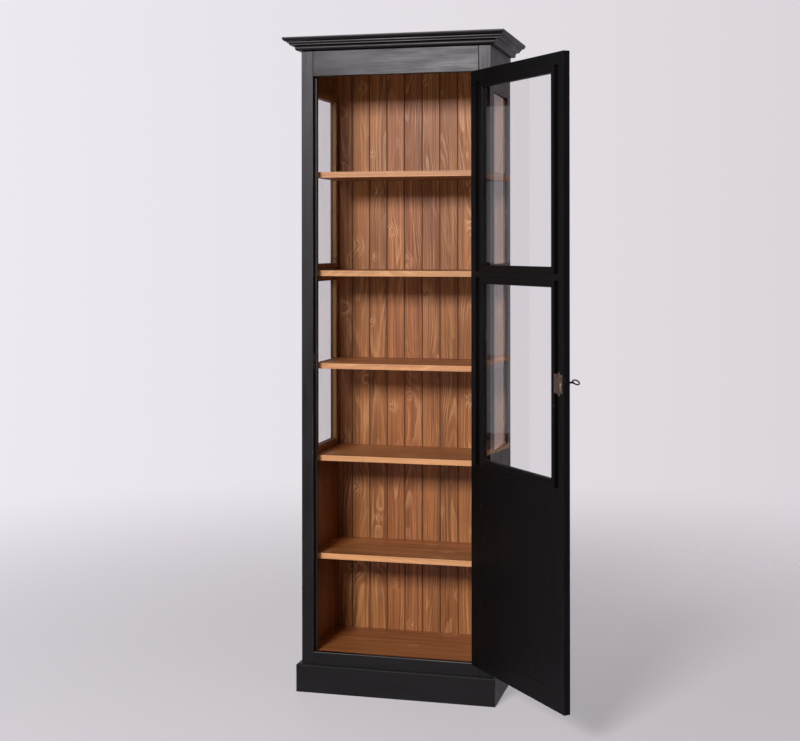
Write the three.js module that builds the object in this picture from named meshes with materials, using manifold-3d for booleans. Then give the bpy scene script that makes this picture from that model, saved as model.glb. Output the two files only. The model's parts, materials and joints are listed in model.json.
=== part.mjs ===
// Tall single-door bookcase: a face-framed pine carcass with glazed sides, five shelves, a tongued
// and grooved back, a moulded cornice, a planted plinth and an inset door with two panes over a
// solid panel. Millimetres, +Z up, +Y to the back. The origin is on the floor, in the middle of the
// underside of the front plinth board. The door stands open, as it rests.
import * as THREE from "three";
import { mergeVertices } from "three/addons/utils/BufferGeometryUtils.js";
import Module from "manifold-3d";

const wasm = await Module();
wasm.setup();

// Carcass
const bodyWidth = 620;
const bodyDepth = 352;
const bodyHeight = 2060;
const sideThickness = 22;
const frontStileWidth = 43;
const rearStileWidth = 50;
const topBoardThickness = 18;
const bottomBoardThickness = 20;
const bottomBoardTop = 126;

// Face frame and the strip that the door closes against
const faceThickness = 20;
const faceStileWidth = 38;
const friezeHeight = 83;
const sillTop = 128;
const sillHeight = 88;
const stopWidth = 23;
const stopThickness = 16;
const stopClearance = 1;

// Plinth and cornice
const plinthHeight = 90;
const plinthThickness = 15;
const plinthChamfer = 4;
const corniceHeight = 40;
const corniceOverhang = 50;
const corniceBearing = 20;
const mitreGap = 0.4;

// Shelves, from the top one down, as shares of the clear height above the bottom board
const shelfTopShares = [0.807, 0.64, 0.483, 0.327, 0.161];
const shelfThickness = 18;
const shelfSetback = 54;
const housingDepth = 5;

// Back boards
const backSetback = 20;
const backRebate = 9;
const boardThickness = 12;
const boardPitch = 61.7;
const firstJointFromSide = 71.8;
const narrowestBoard = 30;
const boardChamfer = 2;
const tongueReach = 5;
const tongueThickness = 3.5;
const boardTopDrop = 1;

// Panes, at the same heights in the sides and in the door, and shares of the clear height for the
// middle of the rail between them and for the lower one's bottom edge
const midRailShare = 0.636;
const paneBottomShare = 0.339;
const midRailHeight = 58;
const glassThickness = 4;
const glassLap = 9;
const sideLip = 7;
const sideRebate = 12;

// Door
const openAngle = THREE.MathUtils.degToRad(130);
const doorGap = 1.5;
const doorEndGap = 2;
const doorThickness = 20;
const doorStileWidth = 70;
const doorLip = 7;
const doorStileRebate = 42;
const doorRailRebate = 20;
const rebateCorner = 9;
const doorTopRailHeight = 55;
const lockRailHeight = 60;
const doorBottomRailHeight = 70;
const panelRebate = 13;
const panelThickness = 12;

// Hinges
const hingeHeight = 76;
const hingeFromEnd = 210;
const leafDepth = 17;
const leafThickness = 2;
const knuckleRadius = 5;
const pinRadius = 2.5;
const pinClearance = 0.3;
const pinStandoff = 6;
const knuckleGap = 0.4;
const finialHeight = 3;

// Lock, its bolt and its strike plate
const lockAbove = 1050;
const lockInset = 26;
const caseFromEdge = 9.5;
const caseWidth = 42.5;
const caseHeight = 54;
const caseDrop = 2.8;
const caseDepth = 8.5;
const caseWall = 1.3;
const casePlate = 1.5;
const tabHeight = 8;
const tabWidth = 15;
const caseRecessGap = 0.6;
const boltThickness = 5;
const boltBottom = 3.2;
const boltHeight = 13;
const boltLength = 36;
const boltThrow = 8;
const talonWidth = 15;
const strikeHeight = 52;
const strikeWidth = 10;
const strikeThickness = 1.5;

// Key and escutcheon
const keyAngle = THREE.MathUtils.degToRad(58);
const shankRadius = 2.5;
const shankReach = 28;
const collarRadius = 4;
const collarThickness = 2;
const bowWidth = 28;
const bowLength = 24;
const bowWire = 4;
const bitLength = 4;
const bitReach = 8;
const bitThickness = 2;
const keyholeClearance = 0.7;
const escutcheonWidth = 20;
const escutcheonHeight = 40;
const escutcheonThickness = 1.5;

// Fits and cuts
const seat = 0.3;
const overrun = 2;
const arcSteps = 6;
const roundSides = 20;

// Places worked out from those sizes
const halfBody = bodyWidth / 2;
const innerX = halfBody - sideThickness;
const faceInnerX = halfBody - faceStileWidth;
const frontY = plinthThickness / 2;
const faceBackY = frontY + faceThickness;
const rearY = frontY + bodyDepth;
const backY = rearY - backSetback;
const windowFrontY = faceBackY + frontStileWidth;
const windowRearY = rearY - rearStileWidth;
const openingTop = bodyHeight - friezeHeight;
const doorTop = openingTop - doorEndGap;
const paneTop = doorTop - doorTopRailHeight;
const clearHeight = bodyHeight - topBoardThickness - bottomBoardTop;
const midRailBottom = bottomBoardTop + clearHeight * midRailShare - midRailHeight / 2;
const midRailTop = midRailBottom + midRailHeight;
const paneBottom = bottomBoardTop + clearHeight * paneBottomShare;
const doorBottom = sillTop + doorEndGap;
const doorWidth = faceInnerX * 2 - doorGap * 2;
const pinX = faceInnerX - doorGap / 2;
const pinY = frontY - pinStandoff;
const doorPanes = [
  { name: "upper", bottom: midRailTop, top: paneTop },
  { name: "lower", bottom: paneBottom, top: midRailBottom },
];

const paint = { color: 0x1c1a1c, roughness: 0.45, metalness: 0 };
const pine = { color: 0x9c6238, roughness: 0.55, metalness: 0 };
const clear = { color: 0xeef2f4, roughness: 0.05, metalness: 0, opacity: 0.25, transparent: true };
const bronze = { color: 0x6a5444, roughness: 0.45, metalness: 0.8 };
const iron = { color: 0x171719, roughness: 0.5, metalness: 0.7 };
const steel = { color: 0x6f6d6a, roughness: 0.4, metalness: 0.9 };

const cabinet = new THREE.Group();
const door = new THREE.Group();
door.position.set(pinX, pinY, 0);
door.rotation.z = openAngle;
cabinet.add(door);

function piece(parent, name, geometry, finish) {
  const mesh = new THREE.Mesh(geometry, new THREE.MeshStandardMaterial(finish));
  mesh.name = name;
  parent.add(mesh);
  return mesh;
}

// A square block between two corners, whose faces lie exactly on the stated planes.
function block([x0, x1], [y0, y1], [z0, z1]) {
  const geometry = new THREE.BoxGeometry(1, 1, 1);
  const at = geometry.getAttribute("position");
  for (let i = 0; i < at.count; i++) {
    at.setXYZ(i, at.getX(i) < 0 ? x0 : x1, at.getY(i) < 0 ? y0 : y1, at.getZ(i) < 0 ? z0 : z1);
  }
  return geometry;
}

const sorted = (a, b) => (a < b ? [a, b] : [b, a]);
const grown = ([low, high], by) => [low - by, high + by];

function toSolid(geometry) {
  const bare = new THREE.BufferGeometry();
  bare.setAttribute("position", geometry.getAttribute("position"));
  bare.setIndex(geometry.index);
  const merged = mergeVertices(bare);
  return new wasm.Manifold(
    new wasm.Mesh({
      numProp: 3,
      vertProperties: merged.getAttribute("position").array,
      triVerts: new Uint32Array(merged.index.array),
    }),
  );
}

function toGeometry(solid) {
  const { vertProperties, triVerts } = solid.getMesh();
  const geometry = new THREE.BufferGeometry();
  geometry.setAttribute("position", new THREE.BufferAttribute(vertProperties, 3));
  geometry.setIndex(new THREE.BufferAttribute(triVerts, 1));
  geometry.computeVertexNormals();
  return geometry;
}

const joined = (first, ...rest) =>
  toGeometry(rest.reduce((whole, next) => whole.add(toSolid(next)), toSolid(first)));
const cut = (first, ...cutters) =>
  toGeometry(cutters.reduce((whole, next) => whole.subtract(toSolid(next)), toSolid(first)));

// An outline in the X-Z plane, extruded along +Y from y0 to y1.
function slab(shape, [y0, y1]) {
  const geometry = new THREE.ExtrudeGeometry(shape, {
    depth: y1 - y0,
    bevelEnabled: false,
    curveSegments: arcSteps,
  });
  return geometry.rotateX(Math.PI / 2).translate(0, y1, 0);
}

function roundedRectangle([x0, x1], [z0, z1], radius) {
  const shape = new THREE.Shape();
  shape.moveTo(x0 + radius, z0);
  shape.lineTo(x1 - radius, z0);
  shape.absarc(x1 - radius, z0 + radius, radius, -Math.PI / 2, 0);
  shape.absarc(x1 - radius, z1 - radius, radius, 0, Math.PI / 2);
  shape.absarc(x0 + radius, z1 - radius, radius, Math.PI / 2, Math.PI);
  shape.absarc(x0 + radius, z0 + radius, radius, Math.PI, Math.PI * 1.5);
  return shape;
}

// A rod along +Y between two depths.
function rod(radius, [y0, y1], x = 0, z = 0) {
  const geometry = new THREE.CylinderGeometry(radius, radius, y1 - y0, roundSides);
  return geometry.translate(x, (y0 + y1) / 2, z);
}

// A post along +Z between two heights.
function post(radius, [z0, z1]) {
  const geometry = new THREE.CylinderGeometry(radius, radius, z1 - z0, roundSides);
  return geometry.rotateX(Math.PI / 2).translate(0, 0, (z0 + z1) / 2);
}

// A profile of (out from the body, up) pulled along one side of the body. The place function
// turns out, up and the end that is meant, 0 or 1, into a point, which mitres or squares the end.
function run(profile, place) {
  const geometry = new THREE.ExtrudeGeometry(profile, { depth: 1, bevelEnabled: false });
  const at = geometry.getAttribute("position");
  for (let i = 0; i < at.count; i++) {
    at.setXYZ(i, ...place(at.getX(i), at.getY(i), Math.round(at.getZ(i))));
  }
  return geometry;
}

// Front, left and right runs that meet in mitres at the two front corners.
function mitredRuns(prefix, profile, baseZ) {
  const front = (out, up, end) => {
    const x = halfBody + out - mitreGap;
    return [end ? -x : x, frontY - out, baseZ + up];
  };
  const left = (out, up, end) => [-halfBody - out, end ? rearY : frontY - out, baseZ + up];
  const right = (out, up, end) => [halfBody + out, end ? frontY - out : rearY, baseZ + up];
  piece(cabinet, prefix + "_front", run(profile, front), paint);
  piece(cabinet, prefix + "_left", run(profile, left), paint);
  piece(cabinet, prefix + "_right", run(profile, right), paint);
}

function plinthProfile() {
  const shape = new THREE.Shape();
  shape.moveTo(0, 0);
  shape.lineTo(plinthThickness, 0);
  shape.lineTo(plinthThickness, plinthHeight - plinthChamfer);
  shape.lineTo(plinthThickness - plinthChamfer, plinthHeight);
  shape.lineTo(0, plinthHeight);
  return shape;
}

// Members of the cornice from its underside up: the kind, then its run out and its rise as shares
// of the overhang and the height.
const corniceShares = [
  ["step", 0.22, 0],
  ["ovolo", 0.12, 0.2],
  ["step", 0, 0.05],
  ["cove", 0.28, 0.15],
  ["step", 0, 0.075],
  ["step", 0.02, 0],
  ["cove", 0.1, 0.1],
  ["step", 0, 0.0875],
  ["ovolo", 0.26, 0.2625],
  ["step", 0, 0.075],
];

function corniceProfile() {
  const shape = new THREE.Shape();
  shape.moveTo(-corniceBearing, 0);
  shape.lineTo(0, 0);
  let out = 0;
  let up = 0;
  for (const [kind, runShare, riseShare] of corniceShares) {
    const across = runShare * corniceOverhang;
    const rise = riseShare * corniceHeight;
    const bends = kind === "step" ? 1 : arcSteps;
    for (let i = 1; i <= bends; i++) {
      const turn = ((Math.PI / 2) * i) / bends;
      const ovolo = [Math.sin(turn), 1 - Math.cos(turn)];
      const cove = [1 - Math.cos(turn), Math.sin(turn)];
      const [a, b] = kind === "step" ? [1, 1] : kind === "ovolo" ? ovolo : cove;
      shape.lineTo(out + across * a, up + rise * b);
    }
    out += across;
    up += rise;
  }
  shape.lineTo(-corniceBearing, corniceHeight);
  return shape;
}

// Key outline on the bolt's side of the door: a round eye over a slot, as the key needs.
function keyholeCutter([y0, y1]) {
  const eye = rod(shankRadius + keyholeClearance, [y0, y1]);
  const halfSlot = bitThickness / 2 + keyholeClearance;
  const slot = block([-halfSlot, halfSlot], [y0, y1], [-bitReach - keyholeClearance, 0]);
  return joined(eye, slot);
}

// Face frame. The left stile takes the strike plate and the bolt, the right one the hinge leaves.
const stileX = [faceInnerX, halfBody];
const mirrored = ([a, b]) => [-b, -a];
const facesY = [frontY, faceBackY];
const boltZ = [lockAbove + boltBottom, lockAbove + boltBottom + boltHeight];
const boltCentreZ = (boltZ[0] + boltZ[1]) / 2;
const boltFromFace = doorThickness - casePlate - caseDepth + caseWall + seat;
const boltY = [frontY + boltFromFace, frontY + boltFromFace + boltThickness];
const boltCentreY = (boltY[0] + boltY[1]) / 2;
const strikeZ = [boltCentreZ - strikeHeight / 2, boltCentreZ + strikeHeight / 2];
const strikeY = [boltCentreY - strikeWidth / 2, boltCentreY + strikeWidth / 2];
const strikeX = [-faceInnerX - strikeThickness, -faceInnerX];
const boltHole = (x, by) => block(x, grown(boltY, by), grown(boltZ, by));
const hingeCentres = [doorBottom + hingeFromEnd, doorTop - hingeFromEnd];

const strikeRecess = block(
  [strikeX[0] - seat, strikeX[1] + overrun],
  grown(strikeY, seat),
  grown(strikeZ, seat),
);
const boltMortise = boltHole([-faceInnerX - boltThrow - overrun, -faceInnerX], overrun / 2);
const leafRecess = (z) =>
  block(
    [faceInnerX - overrun, faceInnerX + leafThickness + seat],
    [frontY - overrun, frontY + leafDepth + seat],
    [z - hingeHeight / 2 - seat, z + hingeHeight / 2 + seat],
  );
const wholeStile = (x) => block(x, facesY, [0, bodyHeight]);
const leftStile = cut(wholeStile(mirrored(stileX)), strikeRecess, boltMortise);
const rightStile = cut(wholeStile(stileX), ...hingeCentres.map(leafRecess));
piece(cabinet, "left_face_stile", leftStile, paint);
piece(cabinet, "right_face_stile", rightStile, paint);
const railX = [-faceInnerX, faceInnerX];
piece(cabinet, "frieze_rail", block(railX, facesY, [openingTop, bodyHeight]), paint);
piece(cabinet, "sill_rail", block(railX, facesY, [sillTop - sillHeight, sillTop]), paint);

const strikePlate = cut(
  block(strikeX, strikeY, strikeZ),
  boltHole(grown(strikeX, overrun), overrun / 2),
);
piece(cabinet, "strike_plate", strikePlate, steel);

const stopY = [faceBackY + stopClearance, faceBackY + stopClearance + stopThickness];
const stopX = [-innerX, -innerX + stopWidth];
piece(cabinet, "door_stop_strip", block(stopX, stopY, [sillTop, openingTop]), paint);

// Sides: a glazed frame above a solid board, housed for the shelves and rebated for the back.
const shelfZ = shelfTopShares.map((share) => {
  const top = bottomBoardTop + clearHeight * share;
  return [top - shelfThickness, top];
});
const shelfY = [frontY + shelfSetback, backY];
const housingX = [innerX, innerX + housingDepth];
const windows = doorPanes.map(({ bottom, top }) => [bottom, top]);

function sideFrame(side, flip) {
  const place = (x) => (flip ? mirrored(x) : x);
  const boardX = place([innerX, halfBody]);
  const housings = shelfZ.map((z) =>
    block(place(grown(housingX, seat)), [shelfY[0] - seat, backY + seat], grown(z, seat)),
  );
  const rebateX = place([innerX - overrun, halfBody - sideLip]);
  const rebates = windows.map((z) =>
    block(rebateX, grown([windowFrontY, windowRearY], sideRebate), grown(z, sideRebate)),
  );
  const backX = place([innerX - overrun, innerX + backRebate]);
  const backCut = block(backX, [backY, rearY + overrun], [-overrun, bodyHeight + overrun]);
  const openingY = [windowFrontY, windowRearY];

  const front = block(boardX, [faceBackY, windowFrontY], [0, bodyHeight]);
  piece(cabinet, side + "_front_stile", cut(front, ...housings, ...rebates), paint);
  const rear = block(boardX, [windowRearY, rearY], [0, bodyHeight]);
  piece(cabinet, side + "_rear_stile", cut(rear, ...housings, ...rebates, backCut), paint);
  const rails = [
    ["_top_rail", [paneTop, bodyHeight]],
    ["_mid_rail", [midRailBottom, midRailTop]],
    ["_lower_board", [0, paneBottom]],
  ];
  for (const [name, z] of rails) {
    piece(cabinet, side + name, cut(block(boardX, openingY, z), ...rebates), paint);
  }
  const glassX = [halfBody - sideLip - glassThickness - seat, halfBody - sideLip - seat];
  for (const { name, bottom, top } of doorPanes) {
    const pane = block(place(glassX), grown(openingY, glassLap), grown([bottom, top], glassLap));
    piece(cabinet, side + "_" + name + "_glass", pane, clear);
  }
}
sideFrame("left", true);
sideFrame("right", false);

// Top, bottom and shelves
const betweenSides = [-innerX, innerX];
const boardsY = [faceBackY, backY];
const topZ = [bodyHeight - topBoardThickness, bodyHeight];
const bottomZ = [bottomBoardTop - bottomBoardThickness, bottomBoardTop];
piece(cabinet, "top_board", block(betweenSides, boardsY, topZ), pine);
piece(cabinet, "bottom_board", block(betweenSides, boardsY, bottomZ), pine);

shelfZ.forEach((z, i) => {
  const housed = grown(betweenSides, housingDepth);
  const shelf = joined(
    block(betweenSides, shelfY, z),
    block(housed, [shelfY[0], windowFrontY], z),
    block(housed, [windowRearY, shelfY[1]], z),
  );
  piece(cabinet, "shelf_" + (i + 1), shelf, pine);
});

// Back boards: each has a chamfered face, a tongue on its left and a groove on its right, and the
// outer two are cut to fit the rebates.
function boardSection(left, right, hasTongue, hasGroove) {
  const back = backY + boardThickness;
  const middle = backY + boardThickness / 2;
  const half = tongueThickness / 2;
  const shape = new THREE.Shape();
  shape.moveTo(left, back);
  if (hasTongue) {
    shape.lineTo(left, middle + half);
    shape.lineTo(left - tongueReach, middle + half);
    shape.lineTo(left - tongueReach, middle - half);
    shape.lineTo(left, middle - half);
  }
  shape.lineTo(left, backY + boardChamfer);
  shape.lineTo(left + boardChamfer, backY);
  shape.lineTo(right - boardChamfer, backY);
  shape.lineTo(right, backY + boardChamfer);
  if (hasGroove) {
    shape.lineTo(right, middle - half - seat);
    shape.lineTo(right - tongueReach - seat, middle - half - seat);
    shape.lineTo(right - tongueReach - seat, middle + half + seat);
    shape.lineTo(right, middle + half + seat);
  }
  shape.lineTo(right, back);
  return shape;
}

const backEdge = innerX + backRebate - seat;
const boardBottom = bottomZ[0];
const boardLength = bodyHeight - boardTopDrop - boardBottom;
const joints = [];
for (let x = -halfBody + firstJointFromSide; x < backEdge - narrowestBoard; x += boardPitch) {
  joints.push(x);
}
for (let i = 0; i <= joints.length; i++) {
  const isLast = i === joints.length;
  const left = i === 0 ? -backEdge : joints[i - 1] + seat;
  const right = isLast ? backEdge : joints[i];
  const section = boardSection(left, right, i > 0, !isLast);
  const length = { depth: boardLength, bevelEnabled: false };
  const board = new THREE.ExtrudeGeometry(section, length).translate(0, 0, boardBottom);
  piece(cabinet, "back_board_" + (i + 1), board, pine);
}

mitredRuns("plinth", plinthProfile(), 0);
mitredRuns("cornice", corniceProfile(), bodyHeight);

// The door is drawn closed, about its hinge pins: across counts from the hinge edge towards the
// lock edge, and deep counts from the outer face inwards.
const hingeEdge = -doorGap / 2;
const across = (a, b) => sorted(hingeEdge - a, hingeEdge - b);
const deep = (a, b) => [pinStandoff + a, pinStandoff + b];
const throughDoor = deep(0, doorThickness);
const rebateY = deep(doorLip, doorThickness + overrun);
const sightX = across(doorStileWidth, doorWidth - doorStileWidth);
const panelSight = [doorBottom + doorBottomRailHeight, paneBottom - lockRailHeight];

const paneRebates = doorPanes.map(({ bottom, top }) =>
  slab(
    roundedRectangle(
      grown(sightX, doorStileRebate),
      grown([bottom, top], doorRailRebate),
      rebateCorner,
    ),
    rebateY,
  ),
);
const panelZ = grown(panelSight, panelRebate);
const panelX = grown(sightX, panelRebate);
const doorRebates = [...paneRebates, block(panelX, rebateY, panelZ)];

const lockEdge = hingeEdge - doorWidth;
const lockX = lockEdge + lockInset;
const caseX = [lockEdge + caseFromEdge, lockEdge + caseFromEdge + caseWidth];
const caseTop = lockAbove - caseDrop + caseHeight / 2;
const caseZ = [caseTop - caseHeight, caseTop];
const caseY = deep(doorThickness - casePlate - caseDepth, doorThickness - casePlate);
const plateY = deep(doorThickness - casePlate, doorThickness);
const latchY = deep(boltFromFace, boltFromFace + boltThickness);

// The plate's outline: square to the case, with a pointed tab above and below the keyhole.
function plateOutline(by) {
  const [x0, x1] = grown(caseX, by);
  const [z0, z1] = grown(caseZ, by);
  const half = tabWidth / 2 + by;
  const shape = new THREE.Shape();
  shape.moveTo(x0, z0);
  shape.lineTo(lockX - half, z0);
  shape.lineTo(lockX, z0 - tabHeight);
  shape.lineTo(lockX + half, z0);
  shape.lineTo(x1, z0);
  shape.lineTo(x1, z1);
  shape.lineTo(lockX + half, z1);
  shape.lineTo(lockX, z1 + tabHeight);
  shape.lineTo(lockX - half, z1);
  shape.lineTo(x0, z1);
  return shape;
}

const casePocket = block(
  grown(caseX, caseRecessGap),
  [caseY[0] - seat, throughDoor[1] + overrun],
  grown(caseZ, caseRecessGap),
);
const boltSlot = block(
  [lockEdge - overrun, caseX[0]],
  grown(latchY, seat),
  grown(boltZ, seat),
);
const tabPocket = slab(plateOutline(caseRecessGap), [plateY[0] - seat, plateY[1] + overrun]);
const stileKeyhole = keyholeCutter([throughDoor[0] - overrun, caseY[0] + overrun]).translate(
  lockX,
  0,
  lockAbove,
);
const doorLeafRecess = (z) =>
  block(
    [hingeEdge - leafThickness - seat, hingeEdge + overrun],
    [throughDoor[0] - overrun, throughDoor[0] + leafDepth + seat],
    [z - hingeHeight / 2 - seat, z + hingeHeight / 2 + seat],
  );

const doorZ = [doorBottom, doorTop];
const hingeStile = cut(
  block(across(0, doorStileWidth), throughDoor, doorZ),
  ...doorRebates,
  ...hingeCentres.map(doorLeafRecess),
);
const lockStile = cut(
  block(across(doorWidth - doorStileWidth, doorWidth), throughDoor, doorZ),
  ...doorRebates,
  casePocket,
  boltSlot,
  tabPocket,
  stileKeyhole,
);
piece(door, "door_hinge_stile", hingeStile, paint);
piece(door, "door_lock_stile", lockStile, paint);

const doorRails = [
  ["door_top_rail", [paneTop, doorTop]],
  ["door_mid_rail", [midRailBottom, midRailTop]],
  ["door_lock_rail", [panelSight[1], paneBottom]],
  ["door_bottom_rail", [doorBottom, panelSight[0]]],
];
const doorRailX = grown(sightX, -seat);
for (const [name, z] of doorRails) {
  piece(door, name, cut(block(doorRailX, throughDoor, z), ...doorRebates), paint);
}

const panelY = deep(doorLip + seat, doorLip + seat + panelThickness);
const panel = block(grown(panelX, -seat), panelY, grown(panelZ, -seat));
piece(door, "door_panel", panel, paint);
const paneY = deep(doorLip + seat, doorLip + seat + glassThickness);
for (const { name, bottom, top } of doorPanes) {
  const pane = block(grown(sightX, glassLap), paneY, grown([bottom, top], glassLap));
  piece(door, "door_" + name + "_glass", pane, clear);
}

// Lock: the case is hollow for the bolt and for the key's bit, and open where the bolt comes out.
const bitY = [latchY[0] + seat, latchY[0] + seat + bitLength];
const boltX = [lockEdge + seat, lockEdge + boltLength];
const boltRoom = block(
  [caseX[0] - overrun, boltX[1] + seat],
  grown(latchY, seat),
  grown(boltZ, seat),
);
const bitRoom = rod(bitReach + seat, grown(latchY, seat), lockX, lockAbove);
const shankHole = rod(
  shankRadius + keyholeClearance,
  [caseY[0] - overrun, latchY[1]],
  lockX,
  lockAbove,
);
const slotHalf = bitThickness / 2 + keyholeClearance;
const bitSlot = block(
  [lockX - slotHalf, lockX + slotHalf],
  [caseY[0] - overrun, latchY[1]],
  [lockAbove - bitReach - seat, lockAbove],
);
const lockBody = joined(block(caseX, caseY, caseZ), slab(plateOutline(0), plateY));
const lockCase = cut(lockBody, boltRoom, bitRoom, shankHole, bitSlot);
piece(door, "lock_case", lockCase, bronze);

const talonLeft = lockX - talonWidth / 2 + bitReach / 2;
const talon = block(
  [talonLeft, talonLeft + talonWidth],
  grown(latchY, overrun),
  [boltZ[0] - overrun, lockAbove + bitReach + seat],
);
piece(door, "lock_bolt", cut(block(boltX, latchY, boltZ), talon), steel);

const escutcheonShape = new THREE.Shape();
escutcheonShape.absellipse(0, 0, escutcheonWidth / 2, escutcheonHeight / 2, 0, Math.PI * 2);
const escutcheonY = [pinStandoff - seat - escutcheonThickness, pinStandoff - seat];
const escutcheon = cut(
  slab(escutcheonShape, escutcheonY),
  keyholeCutter(grown(escutcheonY, overrun)),
).translate(lockX, 0, lockAbove);
piece(door, "escutcheon", escutcheon, bronze);

// Key, drawn with its bit and its bow upright, then turned in the lock.
const bowMiddle = pinStandoff - shankReach - bowLength / 2 + bowWire;
const bowShape = new THREE.Shape();
bowShape.absellipse(bowMiddle, 0, bowLength / 2, bowWidth / 2, 0, Math.PI * 2);
const bowHole = new THREE.Path();
const holeAlong = bowLength / 2 - bowWire;
const holeAcross = bowWidth / 2 - bowWire;
bowHole.absellipse(bowMiddle, 0, holeAlong, holeAcross, 0, Math.PI * 2, true);
bowShape.holes.push(bowHole);
const bow = new THREE.ExtrudeGeometry(bowShape, {
  depth: bowWire,
  bevelEnabled: false,
  curveSegments: roundSides,
})
  .translate(0, 0, -bowWire / 2)
  .rotateX(Math.PI / 2)
  .rotateZ(Math.PI / 2);
const collarFront = pinStandoff - shankReach / 2;
const keySolid = joined(
  rod(shankRadius, [pinStandoff - shankReach, bitY[1]]),
  rod(collarRadius, [collarFront, collarFront + collarThickness]),
  block([-bitThickness / 2, bitThickness / 2], bitY, [0, bitReach]),
  bow,
);
const key = piece(door, "key", keySolid, iron);
key.position.set(lockX, 0, lockAbove);
key.rotation.y = keyAngle;

// Butt hinges: the fixed leaf carries the outer knuckles and the pin, the door's leaf the middle
// knuckle, which turns on that pin.
function hinge(number, z) {
  const third = hingeHeight / 3;
  const ends = [z - hingeHeight / 2, z + hingeHeight / 2];
  const middle = [z - third / 2, z + third / 2];
  const plateSpan = [pinStandoff, pinStandoff + leafDepth];
  const tongueSpan = [0, pinStandoff + overrun];
  const leaf = (x) => block(x, plateSpan, ends);
  const tongue = (x, span) => block(x, tongueSpan, span);
  const fixedX = [doorGap / 2, doorGap / 2 + leafThickness];
  const movingX = [hingeEdge - leafThickness, hingeEdge];
  const low = [ends[0], middle[0] - knuckleGap];
  const high = [middle[1] + knuckleGap, ends[1]];

  const fixed = joined(
    leaf(fixedX),
    tongue(fixedX, low),
    tongue(fixedX, high),
    post(knuckleRadius, low),
    post(knuckleRadius, high),
    post(pinRadius, grown(ends, finialHeight)),
  ).translate(pinX, pinY, 0);
  piece(cabinet, "hinge_" + number + "_fixed_leaf", fixed, iron);

  const barrel = joined(leaf(movingX), tongue(movingX, middle), post(knuckleRadius, middle));
  const moving = cut(barrel, post(pinRadius + pinClearance, grown(middle, overrun)));
  piece(door, "hinge_" + number + "_door_leaf", moving, iron);
}
hingeCentres.forEach((z, i) => hinge(i + 1, z));

export default cabinet;
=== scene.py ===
"""Looks for a tall bookcase with glazed sides, pine shelves and one glazed door that stands open.

Lengths are in metres, in the frame of the solids: +Z up, +Y to the back and +X to the right. What
rides on the door is drawn on the closed door, about its hinge pins, and then turned open with it.
"""

import json
import math

import bmesh
import bpy
from mathutils import Matrix, Vector


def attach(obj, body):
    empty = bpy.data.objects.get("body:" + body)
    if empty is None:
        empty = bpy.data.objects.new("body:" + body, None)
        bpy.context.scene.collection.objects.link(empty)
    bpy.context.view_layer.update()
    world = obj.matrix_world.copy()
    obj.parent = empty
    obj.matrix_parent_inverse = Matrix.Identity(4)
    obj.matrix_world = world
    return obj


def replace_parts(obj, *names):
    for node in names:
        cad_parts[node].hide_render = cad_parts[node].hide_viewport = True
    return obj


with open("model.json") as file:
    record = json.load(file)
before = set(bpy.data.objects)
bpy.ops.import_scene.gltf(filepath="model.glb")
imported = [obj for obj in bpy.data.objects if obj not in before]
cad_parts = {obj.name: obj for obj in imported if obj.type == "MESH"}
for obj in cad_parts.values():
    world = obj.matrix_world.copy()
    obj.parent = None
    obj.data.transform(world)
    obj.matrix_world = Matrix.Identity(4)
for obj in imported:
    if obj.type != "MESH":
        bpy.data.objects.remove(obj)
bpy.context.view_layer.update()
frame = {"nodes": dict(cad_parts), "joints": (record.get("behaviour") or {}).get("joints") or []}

MM = 0.001
X, Y, Z = Vector((1, 0, 0)), Vector((0, 1, 0)), Vector((0, 0, 1))
nodes = frame["nodes"]
joints = {joint["name"]: joint for joint in frame["joints"]}

# The door's own frame: its hinge pin, and the turn from closed to open as it rests
swing = joints["door_swing"]
pin = Vector((swing["pos_m"][0], swing["pos_m"][1], 0))
open_angle = math.radians(-swing["range_deg"][0])
DOOR = Matrix.Translation(pin) @ Matrix.Rotation(open_angle, 4, "Z")
CABINET = Matrix.Identity(4)


def extent(points):
    """The lowest and highest corners of the box round some points."""
    points = list(points)
    low = Vector([min(p[i] for p in points) for i in range(3)])
    high = Vector([max(p[i] for p in points) for i in range(3)])
    return low, high


def box_of(name, place=CABINET, keep=None):
    """A solid's lowest and highest corners in the frame of place, from the points to keep."""
    back = place.inverted()
    points = [back @ vertex.co for vertex in nodes[name].data.vertices]
    return extent(point for point in points if keep is None or keep(point))


# ---- Shader building ----


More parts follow.
